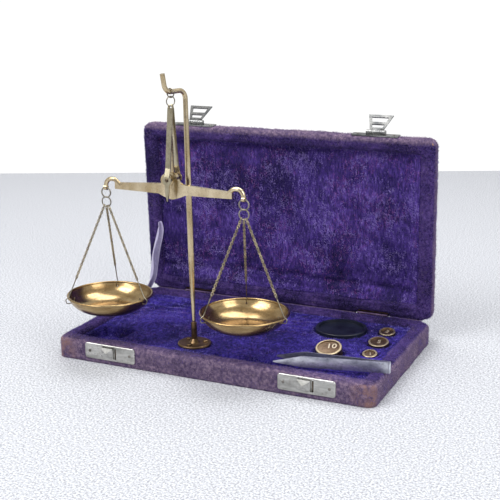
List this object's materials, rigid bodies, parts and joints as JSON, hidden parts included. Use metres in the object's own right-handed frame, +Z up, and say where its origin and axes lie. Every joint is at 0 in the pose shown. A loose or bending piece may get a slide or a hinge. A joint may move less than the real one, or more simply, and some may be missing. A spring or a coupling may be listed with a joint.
{
  "type": "hanging balance scale in a case",
  "caption": "Small hanging two-pan beam balance on a bent brass post, standing in its open velvet-lined case with brass disc weights, dish and tweezers.",
  "frame": {"origin": "centre of the case base's flat underside", "axes": "+Z up, +X to the right, -Y to the front where the clasps are, +Y to the hinges"},
  "size_m": [0.202, 0.1355, 0.1714],
  "materials": {
    "black": "black horn or early plastic",
    "brass": "aged drawn brass",
    "dark_brass": "darkened cast brass",
    "nickel": "worn nickel plate",
    "pan_brass": "lacquered spun brass",
    "satin": "pale lilac satin",
    "spring_steel": "spring steel",
    "steel": "dull polished steel",
    "velvet": "blue-violet velvet pile",
    "velvet_worn": "worn mauve velvet pile",
    "weight_brass": "turned brass",
    "wire": "thin brass wire",
    "wood": "plain softwood"
  },
  "bodies": {
    "case_base": {"base_board": "wood", "base_frame": "wood", "base_velvet_cover": "velvet_worn", "base_lining": "velvet", "catch_plate_left": "nickel", "catch_plate_right": "nickel", "catch_plate_pins": "nickel", "catch_spring_left": "spring_steel", "catch_spring_right": "spring_steel", "hinge_leaves_base": "brass", "hinge_pins": "brass", "hinge_nails_base": "brass", "post_socket": "dark_brass", "socket_screws": "dark_brass", "stay_ribbon": "satin"},
    "lid": {"lid_board": "wood", "lid_frame": "wood", "lid_velvet_cover": "velvet_worn", "lid_lining": "velvet", "hinge_leaves_lid": "brass", "hinge_nails_lid": "brass", "hasp_bracket_left": "nickel", "hasp_bracket_right": "nickel", "hasp_pins": "nickel", "hasp_bracket_nails": "nickel"},
    "hasp_left": {"hasp_left": "nickel"},
    "hasp_right": {"hasp_right": "nickel"},
    "catch_left": {"catch_button_left": "nickel"},
    "catch_right": {"catch_button_right": "nickel"},
    "post": {"post": "brass"},
    "suspension": {"hook_ring": "wire", "fork_ring": "wire", "suspension_fork": "brass"},
    "beam": {"beam": "brass", "knife_edge": "spring_steel", "pointer": "brass"},
    "hanger_left": {"s_hook_left": "wire"},
    "hanger_right": {"s_hook_right": "wire"},
    "pan_left": {"pan_left": "pan_brass", "pan_wires_left": "wire", "chain_left_a": "wire", "chain_left_b": "wire", "chain_left_c": "wire"},
    "pan_right": {"pan_right": "pan_brass", "pan_wires_right": "wire", "chain_right_a": "wire", "chain_right_b": "wire", "chain_right_c": "wire"},
    "weight_10": {"weight_10": "weight_brass"},
    "weight_5": {"weight_5": "weight_brass"},
    "weight_2": {"weight_2": "weight_brass"},
    "weight_1": {"weight_1": "weight_brass"},
    "dish": {"specimen_dish": "black"},
    "tweezers": {"tweezer_blade_front": "steel"},
    "tweezers_back": {"tweezer_blade_back": "steel"}
  },
  "joints": [
    {"name": "lid_hinge", "type": "hinge", "parent": "case_base", "child": "lid", "pos_m": [0, 0.0575, 0.013], "axis": [1, 0, 0], "range_deg": [0, 37], "deforming": ["stay_ribbon"]},
    {"name": "hasp_left_hinge", "type": "hinge", "parent": "lid", "child": "hasp_left", "pos_m": [-0.0628, 0.05656, 0.13021], "axis": [1, 0, 0], "range_deg": [0, 143]},
    {"name": "catch_left_slide", "type": "slide", "parent": "case_base", "child": "catch_left", "axis": [1, 0, 0], "range_m": [0, 0.0018], "stiffness_N_per_m": 120, "springref_m": -0.002, "deforming": ["catch_spring_left"]},
    {"name": "hasp_right_hinge", "type": "hinge", "parent": "lid", "child": "hasp_right", "pos_m": [0.0614, 0.05656, 0.13021], "axis": [1, 0, 0], "range_deg": [0, 143]},
    {"name": "catch_right_slide", "type": "slide", "parent": "case_base", "child": "catch_right", "axis": [1, 0, 0], "range_m": [0, 0.0018], "stiffness_N_per_m": 120, "springref_m": -0.002, "deforming": ["catch_spring_right"]},
    {"name": "post_lift", "type": "slide", "parent": "case_base", "child": "post", "axis": [-0.0192, 0, 0.9998], "range_m": [0, 0.012]},
    {"name": "suspension_swing", "type": "hinge", "parent": "post", "child": "suspension", "pos_m": [-0.0263, -0.0425, 0.1609], "axis": [0.2282, 0.9736, 0], "range_deg": [-4, 4]},
    {"name": "beam_tilt", "type": "hinge", "parent": "suspension", "child": "beam", "pos_m": [-0.0263, -0.0425, 0.1113], "axis": [0, 1, 0], "range_deg": [-6, 6]},
    {"name": "hanger_left_pivot", "type": "hinge", "parent": "beam", "child": "hanger_left", "pos_m": [-0.0705, -0.0425, 0.1039], "axis": [0, 1, 0], "range_deg": [-6, 6]},
    {"name": "pan_left_swing", "type": "hinge", "parent": "hanger_left", "child": "pan_left", "pos_m": [-0.0705, -0.0425, 0.09237], "axis": [1, 0, 0], "range_deg": [-10, 10]},
    {"name": "hanger_right_pivot", "type": "hinge", "parent": "beam", "child": "hanger_right", "pos_m": [0.0179, -0.0425, 0.1039], "axis": [0, 1, 0], "range_deg": [-6, 6]},
    {"name": "pan_right_swing", "type": "hinge", "parent": "hanger_right", "child": "pan_right", "pos_m": [0.0179, -0.0425, 0.09237], "axis": [1, 0, 0], "range_deg": [-10, 10]},
    {"name": "weight_10_lift", "type": "slide", "parent": "case_base", "child": "weight_10", "axis": [0, 0, 1], "range_m": [0, 0.008]},
    {"name": "weight_5_lift", "type": "slide", "parent": "case_base", "child": "weight_5", "axis": [0, 0, 1], "range_m": [0, 0.008]},
    {"name": "weight_2_lift", "type": "slide", "parent": "case_base", "child": "weight_2", "axis": [0, 0, 1], "range_m": [0, 0.008]},
    {"name": "weight_1_lift", "type": "slide", "parent": "case_base", "child": "weight_1", "axis": [0, 0, 1], "range_m": [0, 0.008]},
    {"name": "dish_lift", "type": "slide", "parent": "case_base", "child": "dish", "axis": [0, 0, 1], "range_m": [0, 0.008]},
    {"name": "tweezers_lift", "type": "slide", "parent": "case_base", "child": "tweezers", "axis": [0, 0, 1], "range_m": [0, 0.008]},
    {"name": "tweezers_squeeze", "type": "hinge", "parent": "tweezers", "child": "tweezers_back", "pos_m": [0.101, -0.036, 0.0163], "axis": [0, 0, 1], "range_deg": [0, 6.4], "stiffness_Nm_per_rad": 0.05, "springref_deg": -1.15}
  ],
  "couplings": [
    {"joint": "hanger_left_pivot", "follows": "beam_tilt", "ratio": -1},
    {"joint": "hanger_right_pivot", "follows": "beam_tilt", "ratio": -1}
  ]
}
